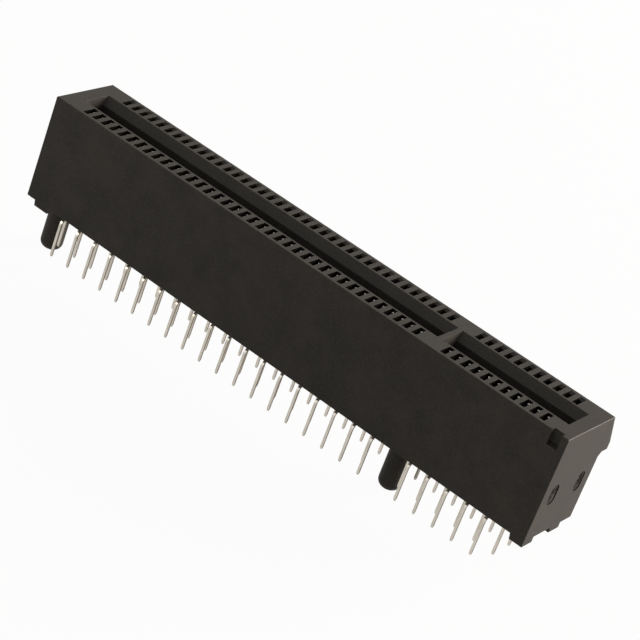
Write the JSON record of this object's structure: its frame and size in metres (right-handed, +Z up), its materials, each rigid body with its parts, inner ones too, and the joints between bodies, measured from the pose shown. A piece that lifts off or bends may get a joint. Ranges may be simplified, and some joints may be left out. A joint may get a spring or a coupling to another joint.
{
  "type": "card edge connector",
  "caption": "Vertical card edge connector: long black moulded housing with a keyed card slot, spring contacts in facing rows, staggered solder tails, feet and round board pegs.",
  "frame": {"origin": "on the key peg's axis, on the board surface that the feet stand on", "axes": "+X along the card slot towards its short section, +Y to the rear face with the wedge lug, +Z up, out of the board"},
  "size_m": [0.0561, 0.0086, 0.0155],
  "materials": {
    "housing_plastic": "fine matt moulded glass-filled plastic",
    "contact_metal": "bright tin plating on stamped copper alloy"
  },
  "bodies": {
    "root": {"housing": "housing_plastic", "front_contacts_01": "contact_metal", "front_contacts_02": "contact_metal", "front_contacts_03": "contact_metal", "front_contacts_04": "contact_metal", "front_contacts_05": "contact_metal", "front_contacts_06": "contact_metal", "front_contacts_07": "contact_metal", "front_contacts_08": "contact_metal", "front_contacts_09": "contact_metal", "front_contacts_10": "contact_metal", "front_contacts_11": "contact_metal", "front_contacts_12": "contact_metal", "front_contacts_13": "contact_metal", "front_contacts_14": "contact_metal", "front_contacts_15": "contact_metal", "front_contacts_16": "contact_metal", "front_contacts_17": "contact_metal", "front_contacts_18": "contact_metal", "front_contacts_19": "contact_metal", "front_contacts_20": "contact_metal", "front_contacts_21": "contact_metal", "front_contacts_22": "contact_metal", "front_contacts_23": "contact_metal", "front_contacts_24": "contact_metal", "front_contacts_25": "contact_metal", "rear_contacts_01": "contact_metal", "rear_contacts_02": "contact_metal", "rear_contacts_03": "contact_metal", "rear_contacts_04": "contact_metal", "rear_contacts_05": "contact_metal", "rear_contacts_06": "contact_metal", "rear_contacts_07": "contact_metal", "rear_contacts_08": "contact_metal", "rear_contacts_09": "contact_metal", "rear_contacts_10": "contact_metal", "rear_contacts_11": "contact_metal", "rear_contacts_12": "contact_metal", "rear_contacts_13": "contact_metal", "rear_contacts_14": "contact_metal", "rear_contacts_15": "contact_metal", "rear_contacts_16": "contact_metal", "rear_contacts_17": "contact_metal", "rear_contacts_18": "contact_metal", "rear_contacts_19": "contact_metal", "rear_contacts_20": "contact_metal", "rear_contacts_21": "contact_metal", "rear_contacts_22": "contact_metal", "rear_contacts_23": "contact_metal", "rear_contacts_24": "contact_metal", "rear_contacts_25": "contact_metal"}
  },
  "joints": []
}
